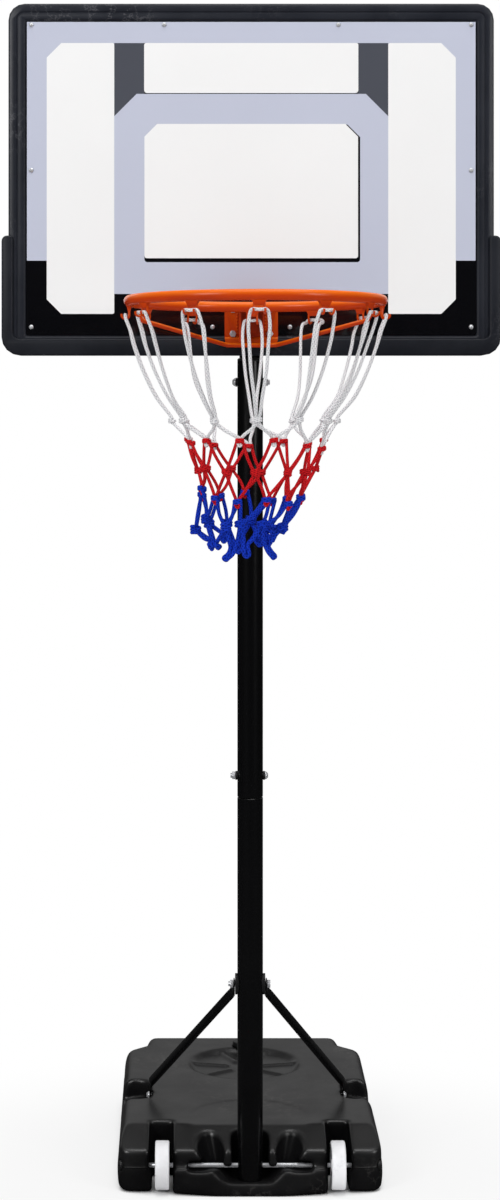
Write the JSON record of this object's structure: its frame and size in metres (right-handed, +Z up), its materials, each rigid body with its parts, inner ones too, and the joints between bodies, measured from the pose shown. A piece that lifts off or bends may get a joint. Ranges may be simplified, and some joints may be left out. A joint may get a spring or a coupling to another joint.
{
  "type": "basketball stand",
  "caption": "Free-standing height-adjustable basketball stand with a wheeled water-filled tank, tubular pole, framed board with an edge pad, hooked ring and knotted net.",
  "frame": {"origin": "on the floor, under the pole's axis", "axes": "+Z up, -Y towards the rim and the front of the board, +X to the right seen from the front"},
  "size_m": [0.825, 1.1702, 1.9843],
  "materials": {
    "tank_plastic": "satin black, blow-moulded",
    "cap_plastic": "black, moulded",
    "wheel_plastic": "white, moulded",
    "zinc": "bright zinc",
    "pole_paint": "black powder coat",
    "frame_plastic": "satin blue-black",
    "pad_rubber": "soft matt black",
    "sheet_print": "printed, glossy",
    "rim_paint": "glossy orange powder coat",
    "white_cord": "braided cord",
    "red_cord": "braided cord",
    "blue_cord": "braided cord"
  },
  "bodies": {
    "stand": {"base_tank": "tank_plastic", "axle": "zinc", "axle_cap_left": "cap_plastic", "axle_cap_right": "cap_plastic", "lower_pole": "pole_paint", "upper_pole": "pole_paint", "pole_bolt": "zinc", "pole_nut": "zinc", "pole_washer_left": "cap_plastic", "pole_washer_right": "cap_plastic", "pole_bush": "cap_plastic", "height_bolt": "zinc", "height_nut": "zinc", "height_washer_left": "cap_plastic", "height_washer_right": "cap_plastic", "strut_left": "pole_paint", "strut_right": "pole_paint", "strut_top_bolt": "zinc", "strut_top_nut": "zinc", "strut_saddle_left": "cap_plastic", "strut_saddle_right": "cap_plastic", "strut_foot_bolt_left": "zinc", "strut_foot_bolt_right": "zinc"},
    "fill_cap_body": {"fill_cap": "cap_plastic"},
    "left_wheel": {"wheel_left": "wheel_plastic"},
    "right_wheel": {"wheel_right": "wheel_plastic"},
    "hoop_carriage": {"mast_tube": "pole_paint", "mast_cap": "cap_plastic", "mast_bracket": "pole_paint", "mast_bolt_low": "zinc", "mast_bolt_high": "zinc", "mast_nut_low": "zinc", "mast_nut_high": "zinc", "backboard_frame": "frame_plastic", "board_sheet": "sheet_print", "edge_pad": "pad_rubber", "sheet_screw_1": "zinc", "sheet_screw_2": "zinc", "sheet_screw_3": "zinc", "sheet_screw_4": "zinc", "sheet_screw_5": "zinc", "sheet_screw_6": "zinc", "sheet_screw_7": "zinc", "sheet_screw_8": "zinc", "sheet_screw_9": "zinc", "sheet_screw_10": "zinc", "rim_bracket": "rim_paint", "rim_ring": "rim_paint", "rim_brace": "rim_paint", "rim_bolt_1": "zinc", "rim_bolt_2": "zinc", "rim_bolt_3": "zinc", "rim_bolt_4": "zinc", "rim_nut_1": "zinc", "rim_nut_2": "zinc", "rim_nut_3": "zinc", "rim_nut_4": "zinc", "net_white": "white_cord", "net_red": "red_cord", "net_blue": "blue_cord"}
  },
  "joints": [
    {"name": "height_slide", "type": "slide", "parent": "stand", "child": "hoop_carriage", "axis": [0, 0, 1], "range_m": [0, 0.48]},
    {"name": "left_wheel_spin", "type": "hinge", "parent": "stand", "child": "left_wheel", "pos_m": [-0.1478, 0, 0.042], "axis": [1, 0, 0], "continuous": true},
    {"name": "right_wheel_spin", "type": "hinge", "parent": "stand", "child": "right_wheel", "pos_m": [0.1478, 0, 0.042], "axis": [1, 0, 0], "continuous": true},
    {"name": "cap_lift", "type": "slide", "parent": "stand", "child": "fill_cap_body", "axis": [0, 0, 1], "range_m": [0, 0.04]}
  ]
}
